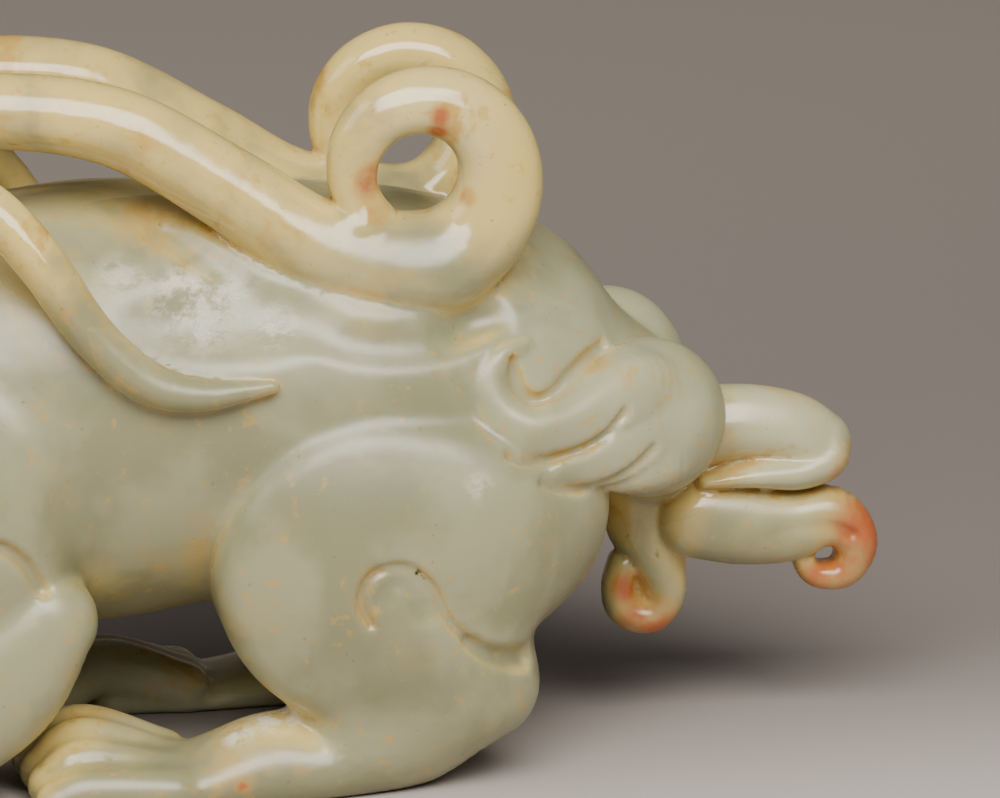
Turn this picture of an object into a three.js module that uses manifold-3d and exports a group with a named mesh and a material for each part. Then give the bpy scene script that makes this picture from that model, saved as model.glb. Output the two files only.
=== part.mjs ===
// A carved jade beast, crouching with its head to -X and its tail to +X, standing on four paws at Z = 0.
// It is one solid: every form below is a rounded body bent along its own line, and all of them are joined.
// Millimetres, +Z up. The origin is on the ground, under the middle of the figure.
import * as THREE from "three";
import { mergeVertices } from "three/addons/utils/BufferGeometryUtils.js";
import Module from "manifold-3d";

const wasm = await Module();
wasm.setup();

// The real length. The figure keeps its pose and proportions, so every size below is a share of this one, in parts
// of a drawing that is 141.4 parts long, and the finished solid is scaled to this length.
const FIGURE_LENGTH = 141.4;

// Sizes of the trunk and of the round thigh and shoulder discs
const BACK_HEIGHT = 59;
const BELLY_HEIGHT = 14.2;
const TRUNK_WIDTH = 39;
const THIGH_DIAMETER = 33;
const SHOULDER_DIAMETER = 34;
const DISC_REACH = 25;

// Sizes of the horns, which sweep back from the brow and end in an open ring over the rump
const HORN_THICKNESS = 7.4;
const HORN_SPREAD = 24;
const RING_HOLE = 8.2;
const RING_BOTTOM_THICKNESS = 10.6;
const RING_TIP_THICKNESS = 4.2;
const RING_TURN = 315;
const NEAR_RING_CENTRE = [24.2, 61.9];
const FAR_RING_CENTRE = [25.6, 61.2]; // a little further back, as the two sides of a carving never match

// Sizes of the legs
const LEG_SPREAD = 32;
const PAW_HEIGHT = 8;
const PAW_WIDTH = 14.4;
const TOES = 4;
const FAR_FOOT_BACK = 5; // the far hind foot stands further back than the near one, with a lower instep
const FAR_INSTEP = 0.68;

// Sizes of the tail
const TAIL_THICKNESS = 9;
const CURL_THICKNESS = 4;

// Sizes of the head and of the carving
const EYE_DIAMETER = 6.4;
const NOSTRIL_DIAMETER = 2.6;
const NOSTRIL_SPREAD = 7.6;
const GROOVE_RADIUS = 0.8;

const JADE = new THREE.MeshStandardMaterial({ name: "jade", color: 0xb9bca0, roughness: 0.25, metalness: 0 });
const SIDES = [-1, 1]; // the near side is -Y

// A closed three.js geometry as a solid
function toSolid(geometry) {
  const bare = geometry.clone();
  bare.deleteAttribute("normal");
  bare.deleteAttribute("uv");
  const merged = mergeVertices(bare, 1e-4);
  return new wasm.Manifold(
    new wasm.Mesh({
      numProp: 3,
      vertProperties: new Float32Array(merged.attributes.position.array),
      triVerts: new Uint32Array(merged.index.array),
    }),
  );
}

function toGeometry(solid) {
  const mesh = solid.getMesh();
  const positions = new Float32Array(mesh.numVert * 3);
  for (let i = 0; i < mesh.numVert; i++) {
    const from = i * mesh.numProp;
    positions.set(mesh.vertProperties.subarray(from, from + 3), i * 3);
  }
  const geometry = new THREE.BufferGeometry();
  geometry.setAttribute("position", new THREE.BufferAttribute(positions, 3));
  geometry.setIndex(new THREE.BufferAttribute(mesh.triVerts, 1));
  geometry.computeVertexNormals();
  return geometry;
}

const joined = (solids) => solids.reduce((whole, solid) => whole.add(solid));

// A station is [x, y, z, half height, half width]; the width is left out where the section is round.
const across = (stations, side) => stations.map(([x, y, z, ...sizes]) => [x, y * side, z, ...sizes]);

// A capsule bent along a smooth line through the stations, with an elliptical section that follows their sizes.
// The section's width lies along the level direction that crosses the line, or along `level` where given.
function limb(stations, { sides = 10, rings = 12, capRings = 1, caps = [1, 1], level = [0, 1, 0] } = {}) {
  const through = (points) => new THREE.CatmullRomCurve3(points, false, "catmullrom");
  const line = through(stations.map(([x, y, z]) => new THREE.Vector3(x, y, z)));
  const sizes = through(stations.map(([, , , height, width = height]) => new THREE.Vector3(height, width, 0)));
  const capsule = new THREE.CapsuleGeometry(1, 2, capRings, sides, rings);
  const place = capsule.attributes.position;
  const outward = 1 / Math.cos(Math.PI / sides / 1.6); // a polygon as large as the ellipse it stands for
  for (let i = 0; i < place.count; i++) {
    const along = THREE.MathUtils.clamp(place.getY(i), -1, 1);
    const beyond = place.getY(i) - along;
    const share = (along + 1) / 2;
    const tangent = line.getTangent(share);
    const wide = new THREE.Vector3(...level).projectOnPlane(tangent).normalize();
    const high = new THREE.Vector3().crossVectors(tangent, wide);
    const { x: height, y: width } = sizes.getPoint(share);
    const cap = Math.min(height, width) * (beyond < 0 ? caps[0] : caps[1]);
    const point = line.getPoint(share)
      .addScaledVector(tangent, beyond * cap)
      .addScaledVector(high, place.getX(i) * height * outward)
      .addScaledVector(wide, place.getZ(i) * width * outward);
    place.setXYZ(i, point.x, point.y, point.z);
  }
  return toSolid(capsule);
}

// A ball with its own half sizes. A power above 2 flattens its face across Y and fills out its rim.
function ball([x, y, z], [length, width, height], { power = 2, sides = 18, rings = 10 } = {}) {
  const sphere = new THREE.SphereGeometry(1, sides, rings);
  const place = sphere.attributes.position;
  for (let i = 0; i < place.count; i++) {
    const [px, py, pz] = [place.getX(i), place.getY(i), place.getZ(i)];
    const radial = Math.hypot(px, pz);
    const fuller = radial > 1e-9 ? radial ** (2 / power) / radial : 0;
    const depth = Math.sign(py) * Math.abs(py) ** (2 / power);
    // the poles of the sphere lie across the figure
    place.setXYZ(i, x + px * fuller * length, y + depth * width, z + pz * fuller * height);
  }
  return toSolid(sphere);
}

// The barrel of the body, from the chest to the rump
function trunk() {
  const middle = (BACK_HEIGHT + BELLY_HEIGHT) / 2;
  const half = (BACK_HEIGHT - BELLY_HEIGHT) / 2;
  const wide = TRUNK_WIDTH / 2;
  const stations = [
    [-30, 0, middle - 1, half * 0.86, wide * 0.88],
    [-10, 0, middle, half, wide],
    [5, 0, middle + 1, half * 0.95, wide * 1.03],
    [20, 0, middle + 1.2, half * 0.885, wide * 1.05],
    [32, 0, middle + 0.4, half * 0.79, wide * 0.9],
  ];
  return limb(stations, { sides: 16, rings: 7, capRings: 3, caps: [0.8, 0.86] });
}

// The thigh is a flat-faced disc, and the buttock behind it a ball
function haunch(side) {
  const half = THIGH_DIAMETER / 2;
  const depth = 12.2;
  const centre = [19.2, side * (DISC_REACH - depth), 22.9];
  return joined([
    ball(centre, [half, depth, half], { power: 2.8, sides: 18, rings: 7 }),
    ball([29.5, side * 9.5, 27.2], [14.4, 13.5, 14.2], { sides: 12, rings: 6 }),
  ]);
}

function shoulder(side) {
  const half = SHOULDER_DIAMETER / 2;
  const depth = 12;
  const centre = [-27, side * (DISC_REACH - depth - 1), 27.4];
  return ball(centre, [half, depth, half], { power: 2.5, sides: 14, rings: 6 });
}

// Toes lie side by side with raised knuckles, and get lower towards the outside of the paw
function paw(side, heel, tip, spread) {
  const toes = [];
  const thick = PAW_WIDTH / TOES * 0.66;
  for (let i = 0; i < TOES; i++) {
    const out = i / (TOES - 1);
    const y = side * (spread + (out - 0.5) * (PAW_WIDTH - 2 * thick));
    const top = PAW_HEIGHT * (1 - 0.46 * out ** 2);
    const reach = tip + thick + 1.4 * out;
    toes.push(limb([
      [heel, y, top * 0.3, thick * 1.1],
      [heel * 0.45 + tip * 0.55, y, top - thick * 1.3, thick * 1.3, thick * 1.05],
      [reach, y, (top - thick) * 0.45, thick],
    ], { sides: 6, rings: 2, capRings: 2 }));
  }
  return joined(toes);
}

function hindLeg(side) {
  const apart = LEG_SPREAD / 2;
  const y = side * apart;
  const back = side > 0 ? FAR_FOOT_BACK : 0;
  const low = side > 0 ? FAR_INSTEP : 1;
  const shank = [[17, y, 21, 8, 7.6], [24, y * 1.02, 14, 8, 7.6], [29.4, y, 10.4, 5, 6.2]];
  const foot = [
    [30.4, y, 9.8, 5, 6.2],
    [22 + back * 0.4, y, 6.8, 7.2, 7],
    [14.5 + back * 0.8, y, 3, 4.6, 6.8],
    [8 + back, y, 2.6 * low, 4.8 * low, 6.4],
    [back, y, 1.4 * low, 3.2 * low, 6.6],
    [back - 9, y, 1.2, 3.2, 6.4],
  ];
  return joined([
    limb(shank, { sides: 8, rings: 3, capRings: 2 }),
    limb(foot, { sides: 8, rings: 6, capRings: 2 }),
    paw(side, back - 2, back - 17.2, apart),
  ]);
}

function foreLeg(side) {
  const apart = LEG_SPREAD / 2;
  const y = side * (apart + 1.6);
  const forearm = [[-13.8, y, 19, 4.8, 5.2], [-19.6, y, 13.4, 7.4, 6.4], [-27, y, 8.4, 7.2, 6.6],
    [-35, y * 0.97, 3, 4.8, 6.6], [-42, y * 0.95, 1.2, 3.2, 6.4]];
  return joined([
    limb(forearm, { sides: 8, rings: 6 }),
    paw(side, -34, -49.4, apart + 0.8),
  ]);
}

// The horn's line: an arch from the brow to the rump, then a ring that closes on the horn as it thins
function hornStations([ringX, ringZ]) {
  const half = HORN_THICKNESS / 2;
  const out = HORN_SPREAD / 2;
  const stations = [
    [-46, out * 0.5, 60, half * 1.02],
    [-38, out * 0.56, 65, half * 0.98],
    [-28, out * 0.64, 68, half * 0.98],
    [-17, out * 0.72, 68.9, half],
    [-5.5, out * 0.8, 67, half * 1.04],
    [5.5, out * 0.88, 60.6, half * 1.1],
    [14.6, out * 0.95, 54.4, half * 1.27],
  ];
  const steps = 9;
  for (let i = 0; i <= steps; i++) {
    const turned = i / steps;
    const thick = THREE.MathUtils.lerp(RING_BOTTOM_THICKNESS, RING_TIP_THICKNESS, turned ** 0.8) / 2;
    const reach = RING_HOLE / 2 + thick;
    const angle = THREE.MathUtils.degToRad(RING_TURN * turned - 90);
    const x = ringX + reach * Math.cos(angle);
    const z = ringZ + reach * Math.sin(angle);
    stations.push([x, out, z, thick, thick * 0.92]);
  }
  return stations;
}

function horn(side) {
  const [ringX, ringZ] = side < 0 ? NEAR_RING_CENTRE : FAR_RING_CENTRE;
  const out = HORN_SPREAD / 2;
  const closing = ball([ringX - 5.9, side * out, ringZ - 4.8], [2.4, 3, 2.4], { sides: 6, rings: 4 });
  return limb(across(hornStations([ringX, ringZ]), side), { sides: 8, rings: 25 }).add(closing);
}

// A long lock of the mane leaves the horn's root, arches free of the back and ends on the flank
function maneLock(side) {
  const stations = [
    [-31, 11, 62.6, 3.4],
    [-24, 13.9, 62.6, 3.2],
    [-19, 16.3, 60.1, 3.2],
    [-14.6, 18.4, 54.8, 3.05],
    [-9.6, 19.6, 47.9, 2.6],
    [-4, 20.2, 43.6, 2.2],
    [1.4, 20.6, 42.2, 1.7],
    [8.4, 20.7, 42.8, 0.7],
  ];
  return limb(across(stations, side), { sides: 6, rings: 10 });
}

// Three stacked locks wrap each buttock from a smooth dome beside the tail's root, and the first ends in a hook
function tailLobes(side) {
  const hooked = [[49, 7, 36.6, 5.4, 5.4], [45.4, 11, 38.2, 4.5, 4.2], [41.6, 13.9, 37.4, 3.7, 3.8],
    [38, 16, 36.4, 3.1, 3.4], [34.3, 17.4, 36.2, 2.9, 3], [31.3, 17, 38.2, 2.5, 2.8],
    [30.3, 16.2, 41.4, 1.8, 2.5], [31.9, 15.4, 43.9, 1.2, 2.1], [34.4, 14.6, 44.9, 0.6, 1.3]];
  const second = [[49, 7, 34.4, 5.2, 5.4], [46.8, 10.6, 34.2, 4.4, 4.2], [43.2, 13.8, 33.2, 3.5, 3.6],
    [39.8, 16, 32.8, 2.7, 3], [36.4, 18, 33.2, 1.7, 2.5]];
  const third = [[50, 7, 32, 4.6, 5], [48.4, 10, 31.4, 3.8, 4], [45.6, 12.4, 30.8, 2.8, 3.2],
    [43, 13.6, 30.4, 1.6, 2.2]];
  return joined([
    ball([48.4, side * 7, 34.4], [8, 6.6, 8.2], { sides: 10, rings: 5 }),
    limb(across(hooked, side), { sides: 6, rings: 10 }),
    limb(across(second, side), { sides: 6, rings: 4 }),
    limb(across(third, side), { sides: 6, rings: 3 }),
  ]);
}

// The middle of the tail parts into an upper lock, a lower lock with a ringed tip and a hanging one
function tail() {
  const half = TAIL_THICKNESS / 2;
  const curl = CURL_THICKNESS / 2;
  const root = [[38, 0, 38, 8, 9], [44, 0, 36.6, 7.4, 9], [48, 0, 33.6, 6.6, 8], [49.8, 0, 28.6, 5, 6]];
  const upper = [[52, -1, 30.2, half, 4.8], [59, -1, 30.2, half * 1.15, 4.6], [64, -1, 29.5, half * 1.1, 4.4],
    [67, -1, 27.7, half * 0.93, 4]];
  const lower = [[54.4, -2, 21.9, half * 0.84, 4], [59, -2, 21.1, half * 0.9, 3.9],
    [64, -2, 21, half * 0.84, 3.6], [68.6, -2, 21.6, half * 0.7, 3.2],
    [71, -2, 18.9, curl * 1.2, 2.8], [69.9, -2, 15.9, curl * 0.85, 2.5],
    [67, -2, 15.7, curl * 0.7, 2.3], [65.7, -2, 17.2, curl * 0.6, 2.2], [65.9, -2, 19.2, curl * 0.6, 2]];
  const hanging = [[49, 1, 27, half * 0.62, 3.6], [49.4, 1, 21, half * 0.72, 3.6],
    [51.2, 1, 16.4, half * 0.58, 3.4], [51.9, 1, 13, curl, 3], [50.2, 1, 11.1, curl * 0.9, 2.8],
    [47.6, 1, 11.9, curl * 0.85, 2.6], [46.9, 1, 14.4, curl * 0.75, 2.4], [47.4, 1, 16.8, curl * 0.7, 2.4]];
  return joined([
    limb(root, { sides: 8, rings: 2 }),
    limb(upper, { sides: 8, rings: 4, capRings: 2 }),
    limb(lower, { sides: 6, rings: 12 }),
    limb(hanging, { sides: 6, rings: 8 }),
  ]);
}

// The head is low and broad, with a blunt muzzle, a shut mouth and a beard that runs down to the chest
function head() {
  const skull = [[-29, 0, 45, 13, 14], [-39, 0, 50.6, 12.8, 13.6], [-48, 0, 53.6, 12, 13],
    [-54, 0, 53.4, 10.4, 11.6]];
  const muzzle = [[-51, 0, 51.6, 7.6, 10], [-58, 0, 51.8, 6.8, 9.6], [-63, 0, 51.4, 5.4, 8.4]];
  const jaw = [[-46, 0, 44, 5.4, 10], [-54, 0, 42.6, 4.6, 9.2], [-60, 0, 42.6, 3.8, 7.4]];
  const nose = [[-65.2, -4, 54.6, 2.8, 2.6], [-65.6, 0, 56, 3, 2.6], [-65.2, 4, 54.6, 2.8, 2.6]];
  const bridge = [[-64, 0, 56, 2.8, 3.4], [-57, 0, 60, 3, 3.6], [-49, 0, 63.6, 3, 4]];
  const beard = [[-60.4, 0, 39.4, 2.8, 3.8], [-56, 0, 35, 4, 5], [-49, 0, 31.6, 5, 6], [-38, 0, 29.6, 6, 7]];
  return joined([
    limb(skull, { sides: 11, rings: 3 }),
    limb(muzzle, { sides: 10, rings: 2, capRings: 2, caps: [1, 0.7] }),
    limb(jaw, { sides: 7, rings: 2 }),
    limb(nose, { sides: 6, rings: 3, level: [1, 0, 0] }),
    limb(bridge, { sides: 6, rings: 2 }),
    limb(beard, { sides: 6, rings: 3 }),
    ...SIDES.flatMap((side) => [lips(side), eye(side), brow(side), ear(side), cheekLocks(side)]),
  ]);
}

function lips(side) {
  const upper = [[-65.4, 1.2, 49.6, 1.9, 2.1], [-64, 6, 49, 2.4, 2.4], [-59, 9.6, 48.8, 2.5, 2.2],
    [-53, 11.4, 50, 2, 1.8]];
  const lower = [[-64, 0.8, 44, 1.6, 2], [-61.4, 5.8, 44, 1.7, 2], [-55.4, 9.4, 44.8, 1.6, 1.8]];
  return joined([
    limb(across(upper, side), { sides: 5, rings: 3 }),
    limb(across(lower, side), { sides: 5, rings: 2 }),
  ]);
}

function eye(side) {
  const half = EYE_DIAMETER / 2;
  return ball([-56.4, side * 8.8, 57.8], [half, half, half], { sides: 7, rings: 4 });
}

function brow(side) {
  const stations = [[-62.6, 4, 58.6, 1.8], [-59.4, 6.6, 62, 2.2], [-54, 9.6, 63.4, 2.5], [-49, 12.2, 61.2, 2.4],
    [-49.4, 13, 56.8, 1.8]];
  return limb(across(stations, side), { sides: 6, rings: 6 });
}

function ear(side) {
  const stations = [[-47, 11.6, 58.6, 2.6, 2.2], [-41, 14.6, 59.6, 3.8, 2.4], [-35.4, 16.4, 57.6, 3.2, 2],
    [-30.6, 17, 54.6, 1.1, 1]];
  return limb(across(stations, side), { sides: 6, rings: 4 });
}

function cheekLocks(side) {
  const upper = [[-54, 9, 49, 2.8, 2.6], [-47.4, 12.6, 46.6, 3.3, 2.8], [-41.2, 14.6, 47.4, 3, 2.6],
    [-39, 15, 51, 2.2, 2.2], [-41.8, 14.6, 52.8, 1.2, 1.4]];
  const lower = [[-51, 8, 43.6, 2.8, 2.8], [-44, 12, 40.8, 3.2, 2.8], [-37.4, 14.6, 42, 2.6, 2.4],
    [-34, 15.8, 45.6, 1.3, 1.4]];
  return joined([
    limb(across(upper, side), { sides: 6, rings: 5 }),
    limb(across(lower, side), { sides: 6, rings: 4 }),
  ]);
}

// Cuts: the swirls over the thigh and the shoulder, the hollow above the heel, the mouth and a nostril
function carving(side) {
  const r = GROOVE_RADIUS;
  const face = DISC_REACH;
  const half = NOSTRIL_DIAMETER / 2;
  const thighSwirl = [[17.5, face - 0.1, 19.2, r * 0.7], [16.6, face, 22.4, r], [19.4, face + 0.1, 25, r],
    [22.8, face, 23.8, r], [25, face - 0.4, 19.8, r], [28, face - 1.6, 16.3, r * 0.9]];
  const heelHollow = [[27.4, face - 1, 17.4, r], [32, face - 3, 14.8, r * 2.3], [34, face - 4.6, 13, r * 1.8]];
  const shoulderSwirl = [[-22.8, face - 0.8, 24.6, r * 0.7], [-22, face - 0.8, 27.2, r],
    [-19.2, face - 1.4, 28.2, r], [-16.4, face - 2.4, 26, r], [-14.8, face - 3.4, 23.2, r * 0.9]];
  const mouth = [[-68, 0.5, 46.6, 0.9, 1.4], [-66, 6.4, 46.4, 0.9, 1.4], [-60, 9.6, 46.4, 0.9, 1.4],
    [-54, 10.8, 47.2, 0.9, 1.4]];
  const nostril = [-67.6, side * NOSTRIL_SPREAD / 2, 54.2];
  return joined([
    limb(across(thighSwirl, side), { sides: 5, rings: 5 }),
    limb(across(heelHollow, side), { sides: 6, rings: 3 }),
    limb(across(shoulderSwirl, side), { sides: 5, rings: 4 }),
    limb(across(mouth, side), { sides: 4, rings: 4 }),
    ball(nostril, [half, half, half], { sides: 6, rings: 4 }),
  ]);
}

// Everything under Z = 0, well past the figure on every side
function ground() {
  const deep = 2 * Math.round(TRUNK_WIDTH);
  const slab = new THREE.BoxGeometry(4 * deep, 2 * deep, deep);
  slab.translate(0, 0, -deep / 2);
  return toSolid(slab);
}

function carve() {
  const pairs = SIDES.flatMap((side) => [
    haunch(side), shoulder(side), hindLeg(side), foreLeg(side), horn(side), maneLock(side), tailLobes(side),
  ]);
  const whole = joined([trunk(), tail(), head(), ...pairs]);
  return whole.subtract(joined([...SIDES.map(carving), ground()]));
}

const carved = toGeometry(carve());
carved.computeBoundingBox();
const box = carved.boundingBox;
carved.translate(-(box.min.x + box.max.x) / 2, -(box.min.y + box.max.y) / 2, 0);
const scale = FIGURE_LENGTH / (box.max.x - box.min.x);
carved.scale(scale, scale, scale);

const beast = new THREE.Group();
const figure = new THREE.Mesh(carved, JADE);
figure.name = "beast";
beast.add(figure);

export default beast;
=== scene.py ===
import math
import bpy
import numpy as np
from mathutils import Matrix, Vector


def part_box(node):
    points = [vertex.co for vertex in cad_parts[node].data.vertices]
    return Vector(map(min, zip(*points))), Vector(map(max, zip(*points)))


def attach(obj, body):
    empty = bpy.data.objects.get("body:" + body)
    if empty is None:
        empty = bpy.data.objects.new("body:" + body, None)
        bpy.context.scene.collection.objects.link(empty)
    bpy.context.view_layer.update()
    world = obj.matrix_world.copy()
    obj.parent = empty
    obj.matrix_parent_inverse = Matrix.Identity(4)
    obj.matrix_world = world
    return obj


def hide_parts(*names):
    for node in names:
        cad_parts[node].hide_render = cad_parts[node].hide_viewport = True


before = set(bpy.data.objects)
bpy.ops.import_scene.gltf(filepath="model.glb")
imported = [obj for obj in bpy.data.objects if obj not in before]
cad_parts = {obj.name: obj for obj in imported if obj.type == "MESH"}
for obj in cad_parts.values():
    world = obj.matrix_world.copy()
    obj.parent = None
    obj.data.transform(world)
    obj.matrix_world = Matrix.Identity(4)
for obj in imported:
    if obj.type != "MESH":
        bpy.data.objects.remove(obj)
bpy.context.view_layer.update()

# The carving is drawn in millimetres in the drawing's own place, where the tail ends at TAIL_END along X.
# The solid is centred on its box, so every drawn point moves along X by the same shift.
MM = 0.001
TAIL_END = 73.47
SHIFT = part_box("beast")[1][0] / MM - TAIL_END
SIDES = (-1, 1)

# Body
BACK_HEIGHT = 59
BELLY_HEIGHT = 14.2
TRUNK_WIDTH = 39
THIGH_DIAMETER = 33
SHOULDER_DIAMETER = 34
DISC_REACH = 25

# Horns
HORN_THICKNESS = 7.4
HORN_SPREAD = 24
RING_HOLE = 8.2
RING_BOTTOM_THICKNESS = 10.6
RING_TIP_THICKNESS = 4.2
RING_TURN = 315

# Legs
LEG_SPREAD = 32
PAW_HEIGHT = 8
PAW_WIDTH = 14.4
TOES = 4
FAR_FOOT_BACK = 5
FAR_INSTEP = 0.68

# Tail, head and carving
TAIL_THICKNESS = 9
CURL_THICKNESS = 4
EYE_DIAMETER = 6.4
NOSTRIL_DIAMETER = 2.6
GROOVE_RADIUS = 0.8

# Places of the red skin, of the rough whitened stone (on the near hind foot's crest also a painted highlight),
# and of painted light that lightens the lit tops of the tail lobes, upper tail lock, ring and near horn and the
# far hind foot in shade: x, y, z and how far each reaches
RED_SKIN = [
    (72.4, -3.6, 20.4, 7.5), (68, -4, 15, 5), (69.8, -3.4, 27, 3.4),
    (49.6, -1, 11, 4.4), (47.6, -1.4, 14.8, 2.6),
    (19.4, -14, 61.6, 2.8), (19.6, -14, 58.8, 2.2), (25.9, -14.4, 66.8, 1.6), (26, -15, 68.4, 1.6),
    (28.4, -15, 60, 1.4), (-16, -16, 57.4, 3),
    (3.2, -22.6, 5.8, 1), (4, -22.8, 4, 1.2), (4.8, -22.8, 2.1, 1.1),
]
CHALK_AND_HIGHLIGHT = [
    (28.4, -21.6, 31.8, 3), (30, -21, 30, 2.2), (13, -24, 39, 1.6), (28.6, 21.6, 31.6, 2.6),
    # On the near hind foot's crest these two places are a painted highlight on its faceted top, laid over rough
    # stone.
    (5, -18.2, 6.2, 2.6), (9, -17, 7.8, 4),
    (2, -18, 52, 8), (-6, -16, 55, 5), (9, -18, 49, 4), (2, 18, 52, 8), (-6, 16, 55, 5),
]
# Painted light: these places are lightened where the light from above strikes the tail lobes, upper tail lock,
# ring and near horn, and on the far hind foot, which lies in shade.
PAINTED_LIGHT_PLACES = [
    (44, -12, 37, 18), (44, 12, 37, 18), (62, -3, 31, 12),
    (4, 17, 4, 24), (26, -12, 66, 9), (-30, -12, 66, 16),
]

# Fineness of the mesh, and the box that it is worked out in
COARSE_STEP = 2.0
FINE_STEP = 0.5
MOST_TRIANGLES = 192000
MARGIN = 5.0
FAR = 10.0
GRID_LOW = (-72.0, -28.0, -2.0)
GRID_HIGH = (76.0, 28.0, 76.0)


def unit(vectors):
    return vectors / np.linalg.norm(vectors, axis=-1, keepdims=True)


def spline(stations, count):
    """Points on the smooth line through the stations, each with its sizes."""
    knots = np.asarray(stations, float)
    ends = np.vstack([2 * knots[0] - knots[1], knots, 2 * knots[-1] - knots[-2]])
    place = np.linspace(0, len(knots) - 1, count)
    first = np.minimum(place.astype(int), len(knots) - 2)
    share = (place - first)[:, None]
    before, start, end, after = (ends[first + k] for k in range(4))
    leave = (end - before) / 2
    arrive = (after - start) / 2
    square = -3 * start + 3 * end - 2 * leave - arrive
    cube = 2 * start - 2 * end + leave + arrive
    return start + leave * share + square * share ** 2 + cube * share ** 3


def across(stations, side):
    """Stations of the far side, or of the near side with side -1."""
    return [(x, y * side, z, *sizes) for x, y, z, *sizes in stations]


class Form:
    """A rounded body: how far points are from it, its box, and how softly it meets the rest."""

    def __init__(self, distance, low, high, blend, cut=False):
        self.distance = distance
        self.low = np.asarray(low)
        self.high = np.asarray(high)
        self.blend = blend
        self.cut = cut


def limb(stations, blend, caps=(1, 1), level=(0, 1, 0), cut=False, power=2):
    """A round-ended body along a smooth line, with an elliptical section: half height, half width.

    A power below 2 gives the section a soft ridge along its top, bottom and sides, one above 2 squares it.
    The level is the way that the section's width points.
    """
    full = [(*s[:4], s[4] if len(s) > 4 else s[3]) for s in stations]
    knots = np.asarray(full, float)
    length = np.linalg.norm(np.diff(knots[:, :3], axis=0), axis=1).sum()
    count = max(8, int(length / 0.6))
    line = spline(full, count)
    centre = line[:, :3]
    size = np.maximum(line[:, 3:], 0.2)
    step = np.gradient(centre, axis=0)
    spacing = np.linalg.norm(step, axis=1)
    along = unit(step)
    flat = np.asarray(level, float)
    wide = unit(flat - along * (along @ flat)[:, None])
    table = np.hstack([centre, size, along, wide])
    girth = size.mean(1)
    batch = 20000

    def distance(points):
        result = np.empty(len(points))
        for start in range(0, len(points), batch):
            part = points[start:start + batch]
            apart = (part ** 2).sum(1)[:, None] - 2 * part @ centre.T + (centre ** 2).sum(1)[None]
            nearest = (np.sqrt(np.maximum(apart, 0)) - girth).argmin(1)
            ahead = ((part - centre[nearest]) * along[nearest]).sum(1) / spacing[nearest]
            place = np.clip(nearest + np.clip(ahead, -1, 1), 0, count - 1)
            lower = np.minimum(place.astype(int), count - 2)
            share = (place - lower)[:, None]
            row = table[lower] * (1 - share) + table[lower + 1] * share
            offset = part - row[:, :3]
            high_way = np.cross(row[:, 5:8], row[:, 8:])
            across_line = (offset * row[:, 8:]).sum(1)
            up_line = (offset * high_way).sum(1)
            past_end = (offset * row[:, 5:8]).sum(1)
            cap = row[:, 3:5].min(1) * np.where(place < count / 2, caps[0], caps[1])
            up_share = np.abs(up_line / row[:, 3])
            side_share = np.abs(across_line / row[:, 4])
            section = (up_share ** power + side_share ** power) ** (1 / power)
            ratio = np.hypot(section, past_end / cap)
            far = np.sqrt(up_line ** 2 + across_line ** 2 + past_end ** 2)
            result[start:start + batch] = np.where(
                ratio > 0.05, far * (1 - 1 / np.maximum(ratio, 0.05)), -row[:, 3:5].min(1))
        return result

    reach = size.max()
    return Form(distance, centre.min(0) - reach, centre.max(0) + reach, blend, cut)


def ball(centre, half, blend, power=2, cut=False):
    """A ball with its own half sizes; a power above 2 makes it a disc that faces Y."""
    middle = np.asarray(centre, float)
    sizes = np.asarray(half, float)

    def distance(points):
        offset = points - middle
        scaled = np.abs(offset / sizes)
        ratio = (np.hypot(scaled[:, 0], scaled[:, 2]) ** power + scaled[:, 1] ** power) ** (1 / power)
        far = np.linalg.norm(offset, axis=1)
        return np.where(ratio > 0.05, far * (1 - 1 / np.maximum(ratio, 0.05)), -sizes.min())

    return Form(distance, middle - sizes, middle + sizes, blend, cut)


def disc(centre, radius, thickness, sag, blend):
    """A coin that faces out along Y, with a domed face that drops by the sag at its rounded rim."""
    middle = np.asarray(centre, float)
    side = np.sign(middle[1])
    dome = (radius ** 2 + sag ** 2) / (2 * sag)
    rim = 3

    def distance(points):
        offset = points - middle
        out = offset[:, 1] * side
        radial = np.hypot(offset[:, 0], offset[:, 2])
        face = np.hypot(radial, out + dome - thickness) - dome
        wall = radial - radius
        return np.maximum(-join(-face, -wall, rim), -out - thickness)

    size = np.array([radius, thickness, radius])
    return Form(distance, middle - size, middle + size, blend)


def drill(centre, radius, reach, blend):
    """A round hole along Y."""
    middle = np.asarray(centre, float)

    def distance(points):
        offset = points - middle
        return np.maximum(np.hypot(offset[:, 0], offset[:, 2]) - radius, np.abs(offset[:, 1]) - reach)

    size = np.array([radius, reach, radius])
    return Form(distance, middle - size, middle + size, blend, cut=True)


def join(one, other, blend):
    """Two fields as one, rounded where they meet over the width of the blend."""
    overlap = np.maximum(blend - np.abs(one - other), 0) / blend
    return np.minimum(one, other) - overlap ** 2 * blend / 4


def fuse(forms, inner, blend):
    """Several forms as one, which meet each other with the inner blend and the rest with the outer one."""

    def distance(points):
        field = forms[0].distance(points)
        for form in forms[1:]:
            field = join(field, form.distance(points), inner)
        return field

    low = np.min([form.low for form in forms], axis=0)
    high = np.max([form.high for form in forms], axis=0)
    return Form(distance, low, high, blend)


def trunk():
    middle = (BACK_HEIGHT + BELLY_HEIGHT) / 2
    half = (BACK_HEIGHT - BELLY_HEIGHT) / 2
    wide = TRUNK_WIDTH / 2
    return limb([
        (-30, 0, middle - 1, half * 0.86, wide * 0.88),
        (-10, 0, middle, half, wide),
        (5, 0, middle + 1, half * 0.95, wide * 1.03),
        (20, 0, middle + 1.2, half * 0.885, wide * 1.05),
        (32, 0, middle + 0.4, half * 0.79, wide * 0.9),
    ], 1, caps=(0.8, 0.86))


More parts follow.
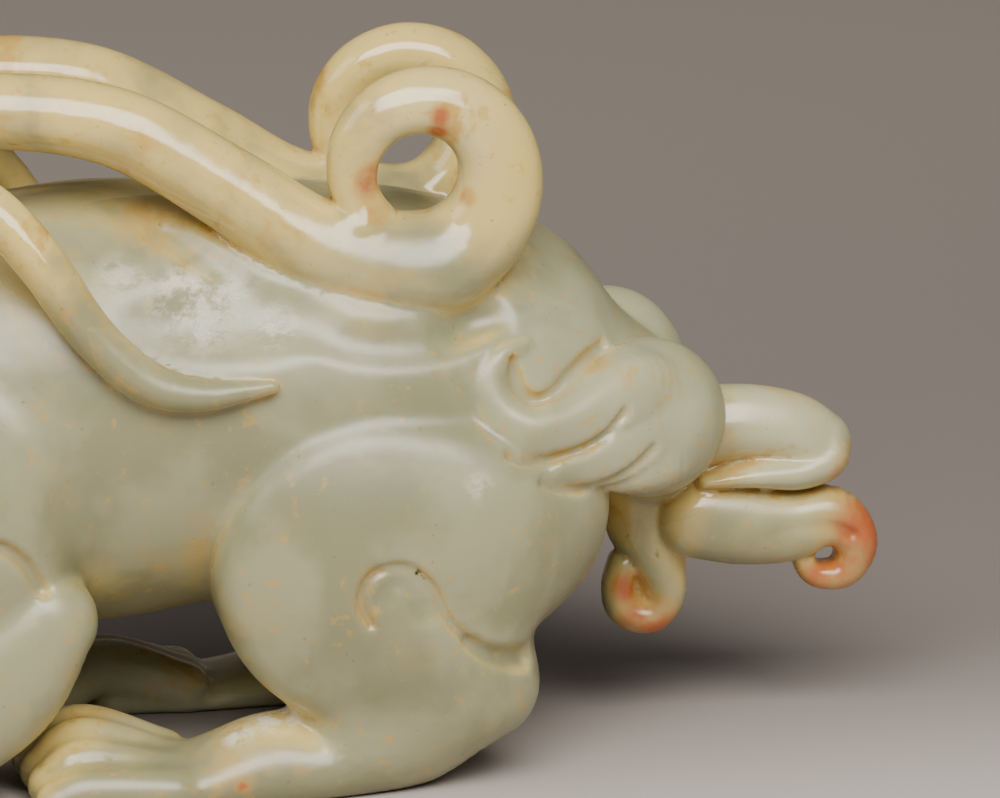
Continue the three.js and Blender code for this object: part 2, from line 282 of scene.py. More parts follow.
def spine():
    """A thin raised band along the middle of the back."""
    top = BACK_HEIGHT - 0.7
    return limb([(-34, 0, top - 6.4, 1, 1.2), (-22, 0, top - 1.6, 1, 1.2), (-10, 0, top, 1, 1.2),
                 (5, 0, top - 0.2, 1, 1.2), (20, 0, top - 1.4, 1, 1.2), (32, 0, top - 4.4, 1, 1.2),
                 (40, 0, top - 8.2, 1, 1.2)], 0.4)


def haunch(side):
    """The thigh's disc and the buttock flow into each other, but the disc's rim stands off the flank."""
    half = THIGH_DIAMETER / 2
    y = side * LEG_SPREAD / 2
    buttock = ball((29.5, side * 9.5, 27.2), (14.4, 13.5, 14.2), 1)
    thigh = disc((19.2, side * (DISC_REACH - 12), 22.9), half, 12.2, 4.2, 1)
    shank = limb([(17, y, 21, 8, 7.6), (24, y * 1.02, 14, 8, 7.6), (29.4, y, 10.4, 5, 6.2)], 1)
    return fuse([buttock, thigh, shank], 4, 1)


def shoulder(side):
    half = SHOULDER_DIAMETER / 2
    return ball((-27, side * (DISC_REACH - 13), 27.4), (half, 12, half), 2.6, power=2.5)


def paw(side, heel, tip, spread):
    toes = []
    thick = PAW_WIDTH / TOES * 0.66
    for i in range(TOES):
        out = i / (TOES - 1)
        y = side * (spread + (out - 0.5) * (PAW_WIDTH - 2 * thick))
        top = PAW_HEIGHT * (1 - 0.46 * out ** 2)
        reach = tip + thick + 1.4 * out
        toes.append(limb([
            (heel, y, top * 0.3, thick * 1.1),
            (heel * 0.45 + tip * 0.55, y, top - thick * 1.3, thick * 1.3, thick * 1.05),
            (reach, y, (top - thick) * 0.45, thick),
        ], 0.9))
    return toes


def hind_leg(side):
    """The far foot stands further back than the near one, with a lower instep."""
    y = side * LEG_SPREAD / 2
    back = FAR_FOOT_BACK if side > 0 else 0
    low = FAR_INSTEP if side > 0 else 1
    return [
        limb([(30.4, y, 9.8, 5, 6.2), (22 + back * 0.4, y, 6.8, 7.2, 7), (14.5 + back * 0.8, y, 3, 4.6, 6.8),
              (8 + back, y, 2.6 * low, 4.8 * low, 6.4), (back, y, 1.4 * low, 3.2 * low, 6.6),
              (back - 9, y, 1.2, 3.2, 6.4)], 3),
        *paw(side, back - 2, back - 17.2, LEG_SPREAD / 2),
    ]


def fore_leg(side):
    y = side * (LEG_SPREAD / 2 + 1.6)
    return [
        limb([(-13.8, y, 19, 4.8, 5.2), (-19.6, y, 13.4, 7.4, 6.4), (-27, y, 8.4, 7.2, 6.6),
              (-35, y * 0.97, 3, 4.8, 6.6), (-42, y * 0.95, 1.2, 3.2, 6.4)], 1.2, power=2.5),
        *paw(side, -34, -49.4, LEG_SPREAD / 2 + 0.8),
    ]


def ring_centre(side):
    """The far ring stands a little further back and lower than the near one."""
    return (24.2, 61.9) if side < 0 else (25.6, 61.2)


def horn(side):
    half = HORN_THICKNESS / 2
    out = HORN_SPREAD / 2
    ring_x, ring_z = ring_centre(side)
    stations = [
        (-46, out * 0.5, 60, half * 1.02),
        (-38, out * 0.56, 65, half * 0.98),
        (-28, out * 0.64, 68, half * 0.98),
        (-17, out * 0.72, 68.9, half),
        (-5.5, out * 0.8, 67, half * 1.04),
        (5.5, out * 0.88, 60.6, half * 1.1),
        (14.6, out * 0.95, 54.4, half * 1.27),
    ]
    steps = 9
    for i in range(steps + 1):
        turned = i / steps
        thick = (RING_BOTTOM_THICKNESS + (RING_TIP_THICKNESS - RING_BOTTOM_THICKNESS) * turned ** 0.8) / 2
        reach = RING_HOLE / 2 + thick
        angle = math.radians(RING_TURN * turned - 90)
        stations.append((ring_x + reach * math.cos(angle), out, ring_z + reach * math.sin(angle),
                         thick * 1.04, thick * 0.92))
    arm = limb(across(stations, side), 1, level=(0, side * 0.82, 0.57), power=2.3)
    closing = ball((ring_x - 6, side * out, ring_z - 4.6), (2.6, 3, 2.2), 1)
    return [
        fuse([arm, closing], 1.4, 0.4),
        drill((ring_x, side * out, ring_z), RING_HOLE / 2, 7, 0.4),
    ]


def mane_lock(side):
    return limb(across([
        (-31, 11, 62.8, 3.2),
        (-24, 13.9, 63, 2.8),
        (-18.7, 16.3, 60.6, 2.6),
        (-14.1, 18.2, 55.6, 2.5),
        (-9.2, 19.4, 48.4, 2.3),
        (-4, 20.2, 43.6, 2.2),
        (1.4, 20.6, 42.2, 1.7),
        (8.4, 20.7, 42.8, 0.7),
    ], side), 0.6, power=1.7)


def tail_lobes(side):
    """Three stacked locks that leave a smooth dome beside the tail's root; the first one ends in a hook.

    The far dome stands a little higher and further forward than the near one.
    """
    lift = 2 if side > 0 else 0
    dome = ball((48.4 - lift, side * 7, 34.4 + lift), (8, 6.6, 8.2), 1)
    third = [(50, 7, 32, 4.6, 5), (48.4, 10, 31.4, 3.8, 4), (45.6, 12.4, 30.8, 2.8, 3.2),
             (43, 13.6, 30.4, 1.6, 2.2)]
    second = [(49, 7, 34.4, 5.2, 5.4), (46.8, 10.6, 34.2, 4.4, 4.2), (43.2, 13.8, 33.2, 3.5, 3.6),
              (39.8, 16, 32.8, 2.7, 3), (36.4, 18, 33.2, 1.7, 2.5)]
    hooked = [(49, 7, 36.6, 5.4, 5.4), (45.4, 11, 38.2, 4.5, 4.2), (41.6, 13.9, 37.4, 3.7, 3.8),
              (38, 16, 36.4, 3.1, 3.4), (34.3, 17.4, 36.2, 2.9, 3), (31.3, 17, 38.2, 2.5, 2.8),
              (30.3, 16.2, 41.4, 1.8, 2.5), (31.9, 15.4, 43.9, 1.2, 2.1), (34.4, 14.6, 44.9, 0.6, 1.3)]
    locks = [limb(across(lock, side), 1, power=2.6) for lock in (third, second, hooked)]
    return fuse([dome, fuse(locks, 0.3, 1)], 0.6, 0.4)


def tail():
    """The root and the middle locks: the upper one rolls under in a lip, the lower and hanging ones curl."""
    half = TAIL_THICKNESS / 2
    curl = CURL_THICKNESS / 2
    root = [(38, 0, 38, 8, 9), (44, 0, 36.6, 7.4, 9), (48, 0, 33.6, 6.6, 8), (49.8, 0, 28.6, 5, 6)]
    upper = [(52, -1, 31, half, 4.8), (59, -1, 31.6, half * 0.88, 4.6), (64, -1, 30.7, half * 0.86, 4.4),
             (66.8, -1, 29, half * 0.84, 4)]
    lip = [(55, -3, 26.6, 0.9, 2.6), (60, -3.4, 27.1, 1.5, 2.9), (64.6, -3.2, 27.1, 2, 3),
           (67.8, -2.4, 28.2, 2.3, 3), (68, -1.4, 30, 2, 3)]
    lower = [(54.4, -2, 22.2, half * 0.92, 4), (59, -2, 21.4, half * 0.94, 3.9), (64, -2, 21, half * 0.84, 3.6),
             (68.6, -2, 21.6, half * 0.7, 3.2), (71, -2, 18.9, curl * 1.2, 2.8),
             (69.9, -2, 15.9, curl * 0.85, 2.5), (67, -2, 15.7, curl * 0.7, 2.3),
             (65.7, -2, 17.2, curl * 0.6, 2.2), (65.9, -2, 19.2, curl * 0.6, 2)]
    hanging = [(48.8, 1, 27, half * 0.92, 3.6), (49.6, 1, 21, half * 0.9, 3.6),
               (51.1, 1, 16.4, half * 0.64, 3.4), (51.6, 1, 13.1, curl * 1.1, 3), (50, 1, 11.2, curl, 2.8),
               (47.5, 1, 12, curl * 0.95, 2.6),
               (46.8, 1, 14.4, curl * 0.85, 2.4), (47.3, 1, 16.8, curl * 0.8, 2.4)]
    web = ball((49, 1.6, 14.6), (3, 1.3, 3.4), 1)
    line = [(60.6, -6.4, 20.6, 0.4), (63.4, -6.3, 21.6, 0.8), (67.4, -5.8, 21.6, 0.8), (70.4, -5, 20.4, 0.6)]
    return [
        limb(root, 3),
        fuse([limb(hanging, 1), web], 0.8, 0.8),
        limb(lower, 0.6, power=2.4),
        drill((67.7, -2, 18.1), 0.9, 4, 0.5),
        limb(line, 0.5, cut=True),
        fuse([limb(upper, 1, level=(0, -0.86, 0.5), power=2.5), limb(lip, 1)], 0.25, 0.4),
    ]


def head():
    skull = [(-29, 0, 45, 13, 14), (-39, 0, 50.6, 12.8, 13.6), (-48, 0, 53.6, 12, 13),
             (-54, 0, 53.4, 10.4, 11.6)]
    muzzle = [(-51, 0, 51.6, 7.6, 10), (-58, 0, 51.8, 6.8, 9.6), (-63, 0, 51.4, 5.4, 8.4)]
    jaw = [(-46, 0, 44, 5.4, 10), (-54, 0, 42.6, 4.6, 9.2), (-60, 0, 42.6, 3.8, 7.4)]
    nose = [(-65.2, -4, 54.6, 2.8, 2.6), (-65.6, 0, 56, 3, 2.6), (-65.2, 4, 54.6, 2.8, 2.6)]
    bridge = [(-64, 0, 56, 2.8, 3.4), (-57, 0, 60, 3, 3.6), (-49, 0, 63.6, 3, 4)]
    beard = [(-60.4, 0, 39.4, 2.8, 3.8), (-56, 0, 35, 4, 5), (-49, 0, 31.6, 5, 6), (-38, 0, 29.6, 6, 7)]
    forms = [
        limb(skull, 4),
        limb(muzzle, 2, caps=(1, 0.7)),
        limb(jaw, 1.5),
        limb(bridge, 2),
        limb(nose, 1, level=(1, 0, 0)),
        limb(beard, 1.5),
    ]
    for side in SIDES:
        forms += [*lips(side), eye(side), lid(side), brow(side), ear(side), *cheek_locks(side)]
    return forms


def lips(side):
    upper = [(-65.4, 1.2, 49.6, 1.9, 2.1), (-64, 6, 49, 2.4, 2.4), (-59, 9.6, 48.8, 2.5, 2.2),
             (-53, 11.4, 50, 2, 1.8)]
    lower = [(-64, 0.8, 44, 1.6, 2), (-61.4, 5.8, 44, 1.7, 2), (-55.4, 9.4, 44.8, 1.6, 1.8)]
    return [limb(across(lip, side), 0.8) for lip in (lower, upper)]


def eye(side):
    half = EYE_DIAMETER / 2
    return ball((-56.4, side * 8.8, 57.8), (half, half, half), 0.4)


def lid(side):
    rim = [(-60.2, 7.4, 57, 0.8), (-58.2, 9.8, 54.6, 1), (-54.6, 11.4, 54.6, 1), (-52, 11.6, 57, 0.8)]
    return limb(across(rim, side), 0.5)


def brow(side):
    return limb(across([
        (-62.6, 4, 58.6, 1.8),
        (-59.4, 6.6, 62, 2.2),
        (-54, 9.6, 63.4, 2.5),
        (-49, 12.2, 61.2, 2.4),
        (-49.4, 13, 56.8, 1.8),
    ], side), 0.8)


def ear(side):
    return limb(across([
        (-47, 11.6, 58.6, 2.6, 2.2),
        (-41, 14.6, 59.6, 3.8, 2.4),
        (-35.4, 16.4, 57.6, 3.2, 2),
        (-30.6, 17, 54.6, 1.1, 1),
    ], side), 0.8)


def cheek_locks(side):
    upper = [(-54, 9, 49, 2.8, 2.6), (-47.4, 12.6, 46.6, 3.3, 2.8), (-41.2, 14.6, 47.4, 3, 2.6),
             (-39, 15, 51, 2.2, 2.2), (-41.8, 14.6, 52.8, 1.2, 1.4)]
    lower = [(-51, 8, 43.6, 2.8, 2.8), (-44, 12, 40.8, 3.2, 2.8), (-37.4, 14.6, 42, 2.6, 2.4),
             (-34, 15.8, 45.6, 1.3, 1.4)]
    return [limb(across(lock, side), 0.7, power=1.7) for lock in (lower, upper)]


def engrave(line, depth, blend, side, forms):
    """A groove along a line on the side of the forms; its stations are x, z and the groove's radius.

    The depth is what each point sinks below the skin.
    """
    stations = []
    for x, z, radius in line:
        reach = np.arange(30, 8, -0.1)
        beside = np.stack([np.full_like(reach, x), side * reach, np.full_like(reach, z)], 1)
        skin = reach[np.argmax(depth_of(forms, beside) < 0)]
        stations.append((x, side * (skin + radius - depth), z, radius))
    return limb(stations, blend, cut=True)


def carving(side, forms):
    """The lines on the thigh, heel, shoulder, tail locks and beard, and the hollow between horn and flank."""
    r = GROOVE_RADIUS
    thigh_line = [(17.5, 19.2), (16.4, 21.7), (17.4, 24.1), (19.4, 25), (21.4, 24.8), (23.1, 23.4),
                  (24.3, 21.6), (25, 19.8), (26.3, 17.9), (28, 16.3)]
    inner_line = [(18.2, 21.7), (19.4, 23.4), (21, 23.4), (22.4, 22), (23.4, 20)]
    heel_line = [(27.4, 16.6, r * 0.8), (29.2, 15.2, r * 1.3), (31, 14.4, r * 1.6), (32.6, 14, r * 1.8),
                 (33.8, 13.8, r * 1.8)]
    shoulder_line = [(-22.8, 24.6), (-22, 27.2), (-19.2, 28.2), (-16.4, 26), (-14.8, 23.2)]
    first_lock_line = [(32, 34.8), (33.6, 34.1), (36.1, 33.9), (39.7, 34.5), (42.3, 35.6), (43.4, 36.5),
                       (44.5, 37.6)]
    second_lock_line = [(35.4, 31.9), (37.5, 30.9), (40, 30.3), (42.3, 30.6), (45.3, 31.7), (47.7, 33.3)]
    beard_line = [(-60.6, 38.6), (-58, 35.6), (-54, 32.4), (-49.6, 30.4)]
    ridge_line = [(36.2, 39.4, 0.6), (37.5, 39.9, 0.8), (39.1, 41.1, 0.9), (41.3, 42.4, 0.9), (43.4, 42.9, 0.8)]
    hook_line = [(32.8, 43.6, 0.5), (33.2, 42.4, 0.8), (33.6, 40.8, 0.9), (34.8, 39.5, 0.8), (36, 39.3, 0.6)]
    horn_line = [(-1, 57, 1.8), (3, 54.6, 2), (9, 50.6, 2.2), (16.5, 47.4, 2.4), (24.2, 46.8, 2.4),
                 (31.5, 48.4, 2.2), (36.4, 52, 2)]
    flank_hollow = ball((4, side * 22, 50.4), (15, 7, 5.6), 2, cut=True)
    return [
        engrave([(x, z, r * 0.7) for x, z in thigh_line], 0.6, 0.35, side, forms),
        engrave([(x, z, r * 1.6) for x, z in inner_line], 0.3, 1, side, forms),
        engrave(heel_line, 1, 0.7, side, forms),
        engrave([(x, z, r) for x, z in shoulder_line], 0.8, 0.5, side, forms),
        engrave([(x, z, r * 0.7) for x, z in first_lock_line], 0.6, 0.4, side, forms),
        engrave([(x, z, r * 0.7) for x, z in second_lock_line], 0.5, 0.4, side, forms),
        engrave(ridge_line, 0.7, 0.4, side, forms),
        engrave(hook_line, 0.9, 0.4, side, forms),
        engrave(horn_line, 0.4, 1.4, side, forms),
        engrave([(x, z, r) for x, z in beard_line], 0.7, 0.5, side, forms),
        flank_hollow,
        *face_cuts(side),
    ]


def face_cuts(side):
    """The mouth, the nostril, the pupil and the hollow of the ear."""
    nostril = NOSTRIL_DIAMETER / 2
    mouth = [(-68, 0.5, 46.6, 0.9, 1.4), (-66, 6.4, 46.4, 0.9, 1.4), (-60, 9.6, 46.4, 0.9, 1.4),
             (-54, 10.8, 47.2, 0.9, 1.4)]
    hollow = [(-45, 15.4, 59.4, 0.9, 1), (-41, 17.4, 59.6, 2, 1.3), (-36, 18.6, 57.8, 1.4, 1.1),
              (-33, 18.6, 56, 0.6, 0.8)]
    return [
        limb(across(mouth, side), 0.8, cut=True),
        limb(across(hollow, side), 0.5, cut=True),
        ball((-67.6, side * 3.8, 54.2), (nostril, nostril, nostril), 0.6, cut=True),
        ball((-58, side * 11.8, 58.3), (1.2, 1, 1.2), 0.4, cut=True),
    ]


def all_forms():
    forms = [trunk(), spine()]
    for side in SIDES:
        forms += [shoulder(side), haunch(side), *hind_leg(side), *fore_leg(side)]
    forms += tail()
    forms += [tail_lobes(side) for side in SIDES]
    forms += head()
    cuts = [cut for side in SIDES for cut in carving(side, forms)]
    forms += cuts
    for side in SIDES:
        forms += [mane_lock(side), *horn(side)]
    return forms


def depth_of(forms, points):
    """How far each point is from the surface that the forms make together, in mm, below 0 inside."""
    field = np.full(len(points), FAR)
    for form in forms:
        near = np.all((points > form.low - MARGIN) & (points < form.high + MARGIN), axis=1)
        if not near.any():
            continue
        other = form.distance(points[near])
        if form.cut:
            field[near] = -join(-field[near], other, form.blend)
        else:
            field[near] = join(field[near], other, form.blend)
    return field


FORMS = all_forms()


def depth_at(points):
    """The same for the whole carving, which is cut flat at the ground."""
    sole = 0.5
    return -join(-depth_of(FORMS, points), points[:, 2], sole)


def slope_at(points, step=0.05):
    """The surface's outward direction at points, from four samples around each."""
    corners = np.array([(1, 1, 1), (1, -1, -1), (-1, 1, -1), (-1, -1, 1)], float)
    total = np.zeros_like(points)
    for corner in corners:
        total += corner * depth_at(points + corner * step)[:, None]
    return total / (4 * step)


def sample_grid():
    """The field on a fine grid, worked out only near the surface."""
    low = np.array(GRID_LOW)
    high = np.array(GRID_HIGH)
    ratio = max(2, int(round(COARSE_STEP / FINE_STEP)))
    coarse_step = FINE_STEP * ratio
    counts = np.ceil((high - low) / coarse_step).astype(int) + 1
    axes = [low[k] + coarse_step * np.arange(counts[k]) for k in range(3)]
    points = np.stack(np.meshgrid(*axes, indexing="ij"), -1).reshape(-1, 3)
    coarse = depth_at(points).reshape(counts)
    close = np.abs(coarse) < coarse_step * 1.3
    cells = np.zeros(counts - 1, bool)
    for dx in (0, 1):
        for dy in (0, 1):
            for dz in (0, 1):
                cells |= close[dx:counts[0] - 1 + dx, dy:counts[1] - 1 + dy, dz:counts[2] - 1 + dz]
    sign = np.where(coarse < 0, -FAR, FAR)
    fine = sign.repeat(ratio, 0).repeat(ratio, 1).repeat(ratio, 2)
    wanted = np.zeros(fine.shape, bool)
    block = cells.repeat(ratio, 0).repeat(ratio, 1).repeat(ratio, 2)
    for dx in (0, 1):
        for dy in (0, 1):
            for dz in (0, 1):
                wanted[dx:block.shape[0] + dx, dy:block.shape[1] + dy, dz:block.shape[2] + dz] |= block
    index = np.argwhere(wanted)
    fine[wanted] = depth_at(low + index * FINE_STEP)
    return fine, low


def surface_net(field, low):
    """A closed mesh of quads: one point in every cell that the surface crosses."""
    inside = field < 0
    total = np.zeros(tuple(n - 1 for n in field.shape), np.int8)
    for dx in (0, 1):
        for dy in (0, 1):
            for dz in (0, 1):
                total += inside[dx:inside.shape[0] - 1 + dx, dy:inside.shape[1] - 1 + dy,
                                dz:inside.shape[2] - 1 + dz]
    crossed = (total > 0) & (total < 8)
    cells = np.argwhere(crossed)
    number = np.full(crossed.shape, -1, np.int64)
    number[crossed] = np.arange(len(cells))
    place = np.zeros((len(cells), 3))
    weight = np.zeros(len(cells))
    corners = [(a, b, c) for a in (0, 1) for b in (0, 1) for c in (0, 1)]
    values = {c: field[tuple((cells + c).T)] for c in corners}
    for one in corners:
        for axis in range(3):
            if one[axis]:
                continue
            two = tuple(v + (k == axis) for k, v in enumerate(one))
            a, b = values[one], values[two]
            hit = (a < 0) != (b < 0)
            share = np.where(hit, a / np.where(hit, a - b, 1), 0)
            spot = np.tile(np.array(one, float), (len(cells), 1))
            spot[:, axis] += share
            place += spot * hit[:, None]
            weight += hit
    points = low + (cells + place / weight[:, None]) * FINE_STEP
    quads = []
    for axis in range(3):
        one, two = (axis + 1) % 3, (axis + 2) % 3
        here = np.take(inside, range(inside.shape[axis] - 1), axis)
        there = np.take(inside, range(1, inside.shape[axis]), axis)
        edges = np.argwhere(here != there)
        edges = edges[(edges[:, one] > 0) & (edges[:, two] > 0)]
        outward = here[tuple(edges.T)]
        back_one = np.eye(3, dtype=int)[one]
        back_two = np.eye(3, dtype=int)[two]
        ring = np.stack([number[tuple((edges - off).T)] for off in
                         (np.zeros(3, int), back_one, back_one + back_two, back_two)], 1)
        ring[~outward] = ring[~outward][:, ::-1]
        quads.append(ring)
    return points, np.vstack(quads)


def carve():
    """The carving as one mesh object, thinned, then laid exactly on the surface again."""
    field, low = sample_grid()
    points, quads = surface_net(field, low)
    mesh = bpy.data.meshes.new("carving")
    mesh.from_pydata(points.tolist(), [], quads.tolist())
    carved = bpy.data.objects.new("carving", mesh)
    bpy.context.scene.collection.objects.link(carved)
    thin = carved.modifiers.new("thin", "DECIMATE")
    thin.ratio = min(1, MOST_TRIANGLES / (2 * len(quads)))
    thin.use_collapse_triangulate = True
    graph = bpy.context.evaluated_depsgraph_get()
    thinned = bpy.data.meshes.new_from_object(carved.evaluated_get(graph))
    carved.modifiers.clear()
    carved.data = thinned
    bpy.data.meshes.remove(mesh)
    spots = np.empty(len(thinned.vertices) * 3)
    thinned.vertices.foreach_get("co", spots)
    spots = spots.reshape(-1, 3)
    for _ in range(3):
        slope = slope_at(spots)
        spots -= unit(slope) * np.clip(depth_at(spots), -0.4, 0.4)[:, None]
    spots[:, 2] = np.maximum(spots[:, 2], 0)
    shades = shades_at(spots)
    moved = spots + np.array([SHIFT, 0, 0])
    thinned.vertices.foreach_set("co", (moved * MM).ravel())
    for name, values in shades.items():
        thinned.attributes.new(name, "FLOAT", "POINT").data.foreach_set("value", values)
    thinned.shade_smooth()
    thinned.update()
    return carved


def shades_at(spots):
    """What the colour follows at each point: hollows, thin stone that takes a painted glow, sheltered stone
    that takes a painted warm shade, and the named places.
    """
    slope = unit(slope_at(spots))
    fine, wide, thick = 1.2, 6.0, 7.0
    hollow = np.clip(1 - depth_at(spots + slope * fine) / fine, 0, 1)
    sheltered = np.clip(1 - depth_at(spots + slope * wide) / wide, 0, 1)
    thin = np.clip(1 + depth_at(spots - slope * thick) / thick, 0, 1)
    high = np.clip((spots[:, 2] - 42) / 16, 0, 1)
    return {
        "hollow": hollow,
        # Painted light: thin stone, most of all high up at the horns and rings, takes a cream tint that is
        # partly its own warm tone and partly painted light passing through it. Sheltered hollows and undersides
        # get a share of it too, partly for settled dust and partly as painted warm shade.
        "glow_and_shelter": np.clip(thin * (0.35 + 0.65 * high) + 0.55 * sheltered, 0, 1),
        "red": nearness(spots, RED_SKIN),
        "chalk_and_highlight": nearness(spots, CHALK_AND_HIGHLIGHT),
        "painted_light": nearness(spots, PAINTED_LIGHT_PLACES),
    }


def nearness(spots, places):
    """1 at the middle of a place and 0 where it ends."""
    result = np.zeros(len(spots))
    for x, y, z, reach in places:
        away = np.linalg.norm(spots - np.array([x, y, z]), axis=1)
        result = np.maximum(result, np.clip(1 - away / reach, 0, 1))
    return result


class Nodes:
    """Short ways to write one material's nodes."""

    def __init__(self, material):
        material.use_nodes = True
        self.tree = material.node_tree
        self.shader = self.tree.nodes["Principled BSDF"]
        self.place = self.tree.nodes.new("ShaderNodeTexCoord").outputs["Object"]

    def put(self, socket, value):
        if hasattr(value, "links"):
            self.tree.links.new(value, socket)
        else:
            socket.default_value = value

    def attribute(self, name):
        node = self.tree.nodes.new("ShaderNodeAttribute")
        node.attribute_name = name
        return node.outputs["Fac"]

    def noise(self, scale, detail=3, roughness=0.5, distortion=0):
        node = self.tree.nodes.new("ShaderNodeTexNoise")
        self.put(node.inputs["Vector"], self.place)
        self.put(node.inputs["Scale"], scale)
        self.put(node.inputs["Detail"], detail)
        self.put(node.inputs["Roughness"], roughness)
        self.put(node.inputs["Distortion"], distortion)
        return node.outputs["Fac"]

    def between(self, value, low, high):
        """0 up to low, 1 from high on, with a smooth change between."""
        node = self.tree.nodes.new("ShaderNodeMapRange")
        node.interpolation_type = "SMOOTHSTEP"
        self.put(node.inputs["Value"], value)
        self.put(node.inputs["From Min"], low)
        self.put(node.inputs["From Max"], high)
        return node.outputs["Result"]

    def sum(self, operation, one, other):
        """One value with another, added or multiplied as the operation says."""
        node = self.tree.nodes.new("ShaderNodeMath")
        node.operation = operation
        self.put(node.inputs[0], one)
        self.put(node.inputs[1], other)
        return node.outputs["Value"]

    def mix(self, share, one, other):
        node = self.tree.nodes.new("ShaderNodeMix")
        node.data_type = "RGBA"
        self.put(node.inputs["Factor"], share)
        for socket, value in ((node.inputs["A"], one), (node.inputs["B"], other)):
            self.put(socket, value if hasattr(value, "links") else (*value, 1))
        return node.outputs["Result"]

    def level(self, share, one, other):
        node = self.tree.nodes.new("ShaderNodeMix")
        self.put(node.inputs["Factor"], share)
        self.put(node.inputs["A"], one)
        self.put(node.inputs["B"], other)
        return node.outputs["Result"]


# Colours of the stone and of the backdrop paper
CELADON = (0.228, 0.217, 0.112)
CLOUD = (0.31, 0.296, 0.165)
PAINTED_LIGHT_TINT = (0.54, 0.52, 0.33)
# Cream of the painted glow on thin stone and of the painted warm shade in sheltered places
GLOW_CREAM = (0.62, 0.47, 0.15)
OCHRE = (0.48, 0.29, 0.06)
RED = (0.4, 0.1, 0.02)
BROWN = (0.16, 0.09, 0.04)
DUST_AND_HIGHLIGHT = (0.74, 0.71, 0.58)
PAPER = (0.46, 0.41, 0.37)
# Painted shadow just behind the figure, and painted shade further back
PAPER_PAINTED_SHADOW = (0.2, 0.171, 0.15)
PAPER_FAR_PAINTED_SHADE = (0.35, 0.295, 0.252)


def stained_jade():
    material = bpy.data.materials.new("jade")
    n = Nodes(material)
    names = ("hollow", "glow_and_shelter", "red", "chalk_and_highlight", "painted_light")
    hollow, glow_and_shelter, red, chalk_and_highlight, painted_light = (n.attribute(name) for name in names)
    clouds = n.noise(70, 4, 0.55, 0.4)
    patches = n.noise(160, 5, 0.6, 0.3)
    flecks = n.noise(620, 3, 0.6)
    specks = n.noise(1400, 2, 0.5)
    scratches = n.noise(2600, 2, 0.7)

    colour = n.mix(n.between(clouds, 0.42, 0.62), CELADON, CLOUD)
    # Painted light and shade: cream where the stone is thin and where it is sheltered.
    glow_share = n.sum("MULTIPLY", glow_and_shelter, n.between(clouds, 0.1, 0.6))
    colour = n.mix(n.between(glow_share, 0.12, 0.95), colour, GLOW_CREAM)
    # Painted light: a pale tint over the lit tops and the shaded far hind foot.
    colour = n.mix(n.sum("MULTIPLY", n.between(painted_light, 0, 0.8), 0.5), colour, PAINTED_LIGHT_TINT)
    settled = n.sum("MULTIPLY", n.between(hollow, 0.3, 0.95), n.between(flecks, 0.34, 0.6))
    colour = n.mix(n.sum("MULTIPLY", settled, 0.6), colour, OCHRE)
    vein_depth = n.sum("ADD", 0.1, n.sum("MULTIPLY", glow_and_shelter, 0.9))
    veined = n.sum("MULTIPLY", n.between(patches, 0.54, 0.68), vein_depth)
    colour = n.mix(veined, colour, OCHRE)
    flecked = n.sum("MULTIPLY", n.between(flecks, 0.6, 0.7), 0.5)
    colour = n.mix(flecked, colour, OCHRE)
    colour = n.mix(n.sum("MULTIPLY", n.between(specks, 0.72, 0.76), 0.5), colour, BROWN)
    colour = n.mix(n.sum("MULTIPLY", n.between(red, 0, 0.3), 0.5), colour, OCHRE)
    skin = n.sum("MULTIPLY", n.between(red, 0.1, 0.7), n.between(patches, 0.32, 0.6))
    colour = n.mix(skin, colour, RED)
    # Whitened rough stone, with a painted highlight where it lies on the near hind foot's crest.
    dusty_and_highlight = n.sum("MULTIPLY", n.between(chalk_and_highlight, 0.05, 0.7), n.between(flecks, 0.36, 0.6))
    colour = n.mix(n.sum("MULTIPLY", dusty_and_highlight, 0.7), colour, DUST_AND_HIGHLIGHT)

    gloss = n.level(n.between(glow_and_shelter, 0.3, 0.8), 0.36, 0.14)
    gloss = n.level(n.sum("MULTIPLY", dusty_and_highlight, 0.8), gloss, 0.5)
    bump = n.tree.nodes.new("ShaderNodeBump")
    height = n.sum("ADD", n.sum("MULTIPLY", n.noise(240, 2), 0.6), n.sum("MULTIPLY", dusty_and_highlight, scratches))
    n.put(bump.inputs["Height"], height)
    n.put(bump.inputs["Strength"], 0.25)
    n.put(bump.inputs["Distance"], 0.0006)
    n.put(n.shader.inputs["Base Color"], colour)
    n.put(n.shader.inputs["Roughness"], gloss)
    n.put(n.shader.inputs["Normal"], bump.outputs["Normal"])
    n.put(n.shader.inputs["IOR"], 1.62)
    n.put(n.shader.inputs["Subsurface Weight"], 0.45)
    n.put(n.shader.inputs["Subsurface Radius"], (1.0, 0.75, 0.4))
    n.put(n.shader.inputs["Subsurface Scale"], 0.004)
    return material


beast = carve()
beast.name = "beast_carving"
beast.data.materials.append(stained_jade())
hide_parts("beast")
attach(beast, "root")

# Camera at the photograph's viewing angle
AZIMUTH = math.radians(-9)
ELEVATION = math.radians(15)
DISTANCE = 0.785
SENSOR = 36
FOCAL = 282.6
TARGET = Vector(((32 + SHIFT) * MM, -15 * MM, 39.1 * MM))
MIDDLE = Vector((0.01, 0, 0.03))


def toward(azimuth, elevation):
    """The way from the figure to a camera or lamp, azimuth 0 in front of the near side."""
    return Vector((math.sin(azimuth) * math.cos(elevation), -math.cos(azimuth) * math.cos(elevation),
                   math.sin(elevation)))


back = toward(AZIMUTH, ELEVATION)
camera = bpy.data.objects.new("camera", bpy.data.cameras.new("camera"))
bpy.context.scene.collection.objects.link(camera)
camera.data.sensor_width = SENSOR
camera.data.lens = FOCAL
camera.data.clip_start = 0.01
camera.data.clip_end = 20
camera.location = TARGET + back * DISTANCE
camera.rotation_mode = "QUATERNION"
camera.rotation_quaternion = (-back).to_track_quat("-Z", "Y")
bpy.context.scene.camera = camera


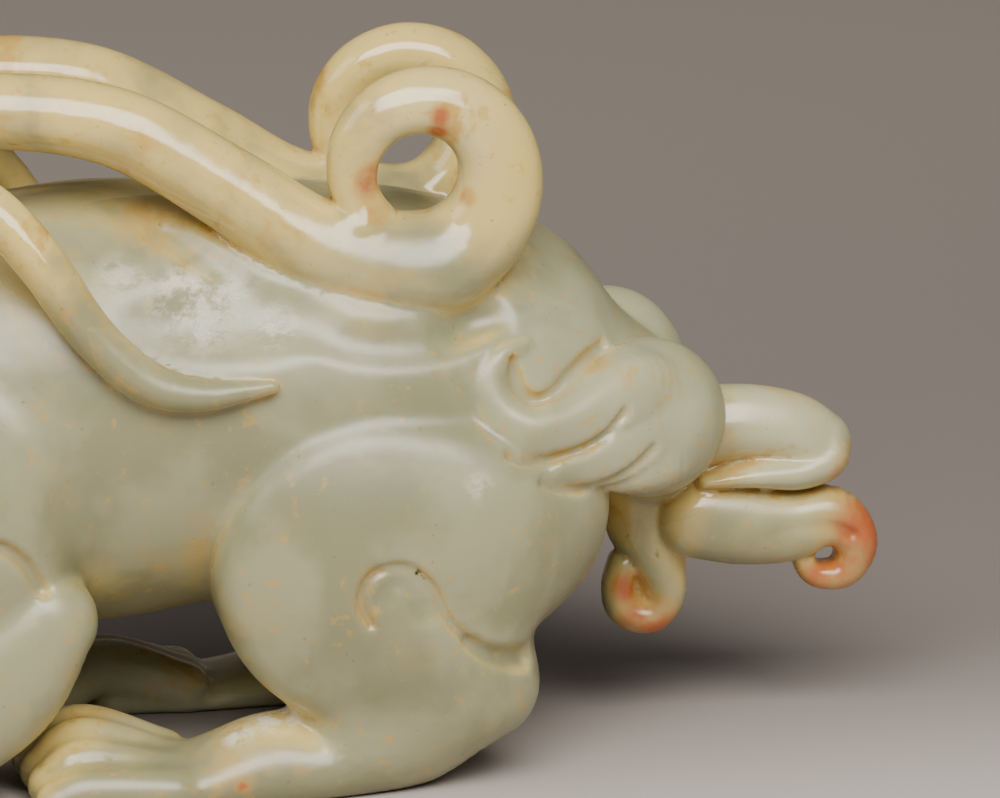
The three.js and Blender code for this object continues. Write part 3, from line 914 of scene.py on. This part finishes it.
def soft_light(name, azimuth, elevation, distance, size, power, colour=(1, 1, 1)):
    """A softbox that faces the middle of the figure."""
    light = bpy.data.lights.new(name, "AREA")
    light.shape = "RECTANGLE"
    light.size, light.size_y = size
    light.energy = power
    light.color = colour
    lamp = bpy.data.objects.new(name, light)
    bpy.context.scene.collection.objects.link(lamp)
    way = toward(math.radians(azimuth), math.radians(elevation))
    lamp.location = MIDDLE + way * distance
    lamp.rotation_mode = "QUATERNION"
    lamp.rotation_quaternion = (-way).to_track_quat("-Z", "Y")
    return lamp


def studio():
    """A pale floor that sweeps up into a plain backdrop."""
    floor_front, floor_back, wall_top, bend = -1.2, 1.1, 1.8, 0.5
    profile = [(floor_front, 0), (floor_back - bend, 0)]
    for i in range(1, 13):
        angle = math.pi / 2 * i / 12
        profile.append((floor_back - bend + bend * math.sin(angle), bend - bend * math.cos(angle)))
    profile.append((floor_back, wall_top))
    points = [(x, y, z) for y, z in profile for x in (-2.2, 2.2)]
    faces = [(2 * i, 2 * i + 1, 2 * i + 3, 2 * i + 2) for i in range(len(profile) - 1)]
    mesh = bpy.data.meshes.new("sweep")
    mesh.from_pydata(points, [], faces)
    mesh.shade_smooth()
    sweep = bpy.data.objects.new("sweep", mesh)
    bpy.context.scene.collection.objects.link(sweep)
    mesh.materials.append(graded_paper())


def graded_paper():
    """Backdrop paper that is pale in front of the figure, with a painted shadow just behind it and further back
    a painted shade, a grey between the two.
    """
    material = bpy.data.materials.new("paper")
    n = Nodes(material)
    parts = n.tree.nodes.new("ShaderNodeSeparateXYZ")
    n.put(parts.inputs["Vector"], n.place)
    depth = parts.outputs["Y"]
    # Painted shadow behind the figure, then painted shade further back.
    shade = n.mix(n.between(depth, -0.05, 0.035), PAPER, PAPER_PAINTED_SHADOW)
    shade = n.mix(n.between(depth, 0.06, 0.4), shade, PAPER_FAR_PAINTED_SHADE)
    n.put(n.shader.inputs["Base Color"], shade)
    n.put(n.shader.inputs["Roughness"], 0.8)
    return material


studio()
soft_light("key", -2, 46, 0.6, (0.6, 0.32), 7.4, (1, 0.98, 0.95))
soft_light("left", -70, 35, 0.8, (0.4, 0.4), 1.4)

world = bpy.data.worlds.new("room")
bpy.context.scene.world = world
world.use_nodes = True
world.node_tree.nodes["Background"].inputs["Color"].default_value = (0.9, 0.95, 1, 1)
world.node_tree.nodes["Background"].inputs["Strength"].default_value = 0.2
